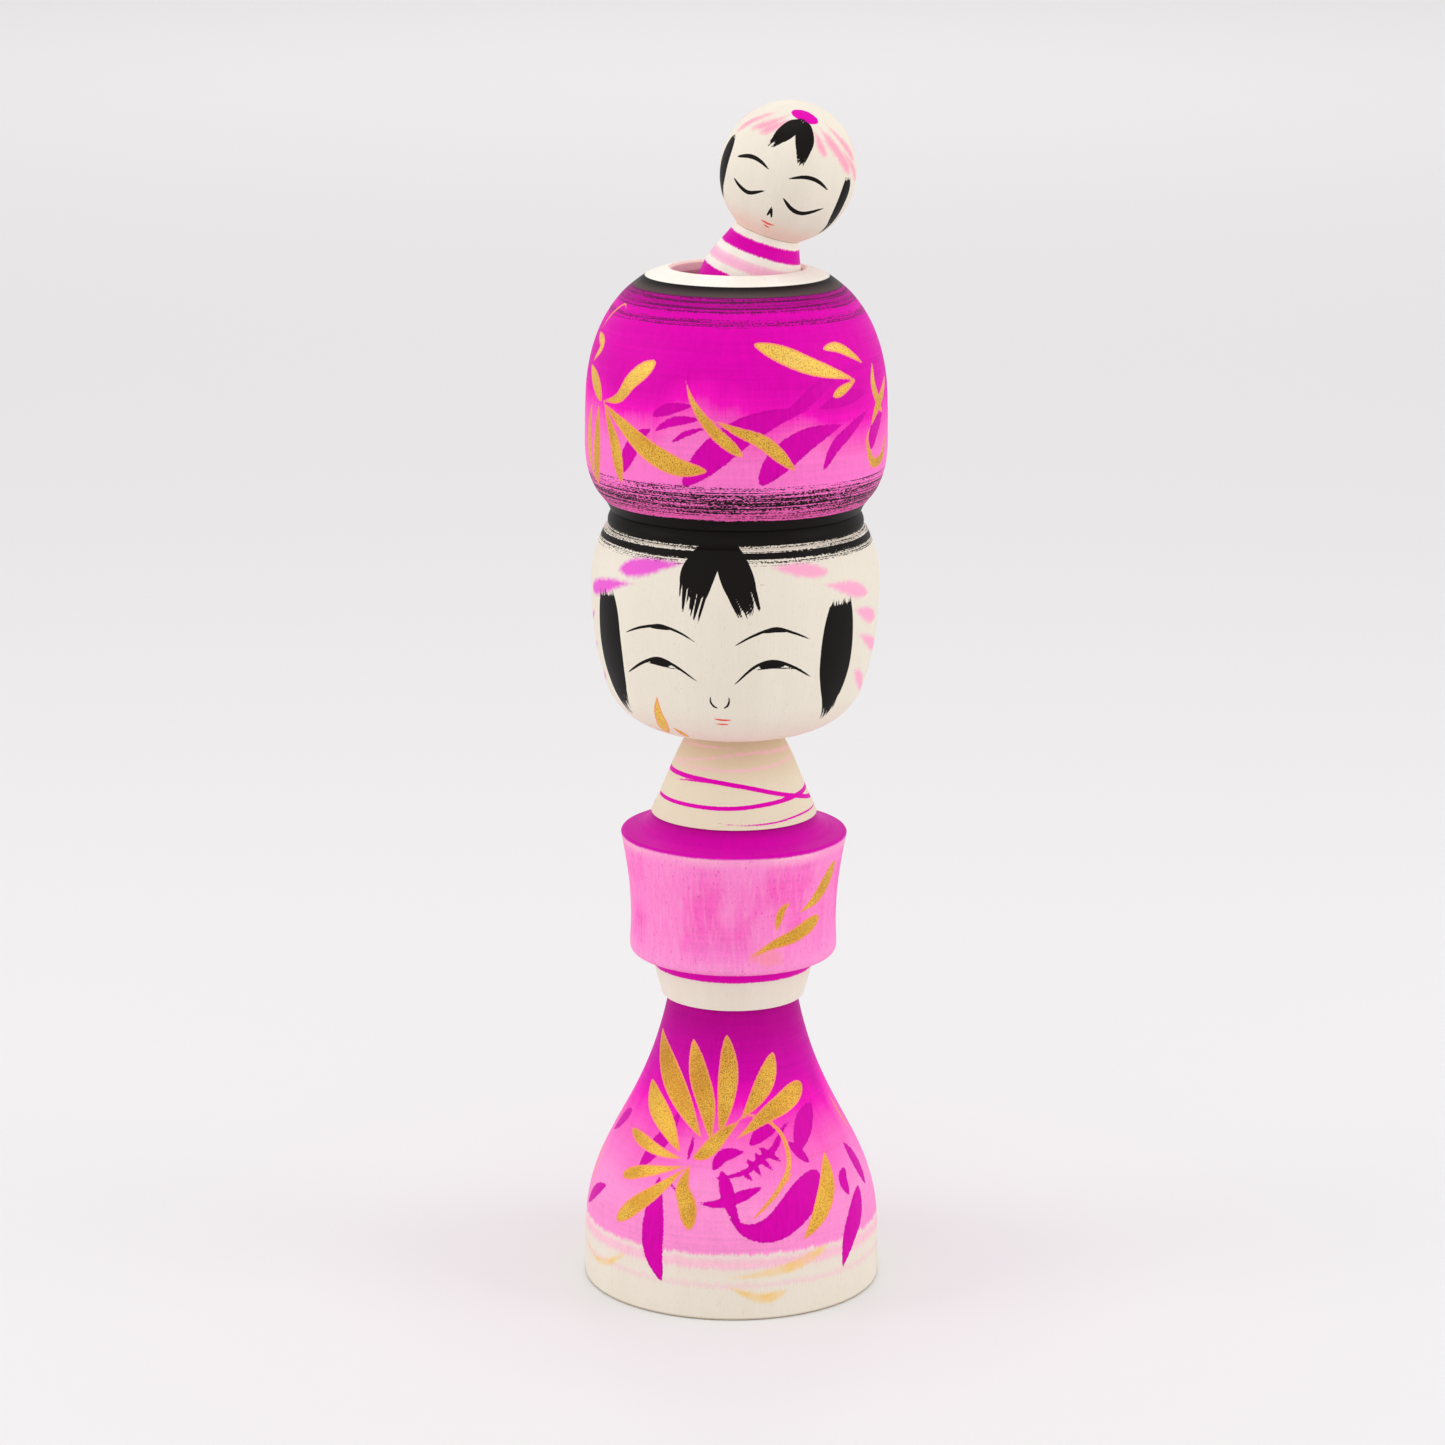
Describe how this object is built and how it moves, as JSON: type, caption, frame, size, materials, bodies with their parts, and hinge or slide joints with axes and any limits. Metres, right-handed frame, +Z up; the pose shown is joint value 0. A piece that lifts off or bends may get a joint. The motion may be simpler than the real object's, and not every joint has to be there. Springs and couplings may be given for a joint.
{
  "type": "kokeshi doll",
  "caption": "Turned wooden kokeshi doll with a flared skirt, drum torso and barrel head, carrying a hollow pot with a small doll leaning in it.",
  "frame": {"origin": "centre of the skirt's underside, on the doll's axis", "axes": "+Z up the doll's axis, the face looks along -Y, +X to the viewer's right"},
  "size_m": [0.0598, 0.0598, 0.2389],
  "materials": {
    "dyed_skirt": "satin waxed, magenta to pink dye",
    "dyed_torso": "satin waxed, pink dye",
    "banded_neck": "satin waxed, magenta lines",
    "painted_head": "satin waxed, ink face",
    "dyed_pot": "satin waxed, magenta dye and gold",
    "banded_body": "satin waxed, dyed bands",
    "painted_mini_head": "satin waxed, ink face",
    "dowel_wood": "bare turned wood"
  },
  "bodies": {
    "base": {"skirt": "dyed_skirt", "waist_dowel": "dowel_wood", "torso": "dyed_torso", "neck_cone": "banded_neck", "neck_dowel": "dowel_wood"},
    "head": {"head": "painted_head"},
    "crown_pin": {"crown_dowel": "dowel_wood"},
    "pot": {"pot": "dyed_pot"},
    "mini_body": {"mini_body": "banded_body"},
    "mini_head": {"mini_head": "painted_mini_head"}
  },
  "joints": [
    {"name": "head_turn", "type": "hinge", "parent": "base", "child": "head", "pos_m": [0, 0, 0.114], "axis": [0, 0, 1], "continuous": true},
    {"name": "pot_turn", "type": "hinge", "parent": "head", "child": "crown_pin", "pos_m": [0, 0, 0.15875], "axis": [0, 0, 1], "continuous": true},
    {"name": "pot_lift", "type": "slide", "parent": "crown_pin", "child": "pot", "axis": [0, 0, 1], "range_m": [0, 0.012]},
    {"name": "mini_lift", "type": "slide", "parent": "pot", "child": "mini_body", "axis": [0, 0, 1], "range_m": [0, 0.034]},
    {"name": "mini_head_turn", "type": "hinge", "parent": "mini_body", "child": "mini_head", "pos_m": [0.00583, -0.00051, 0.21342], "axis": [0.309, -0.0498, 0.9498], "continuous": true}
  ]
}
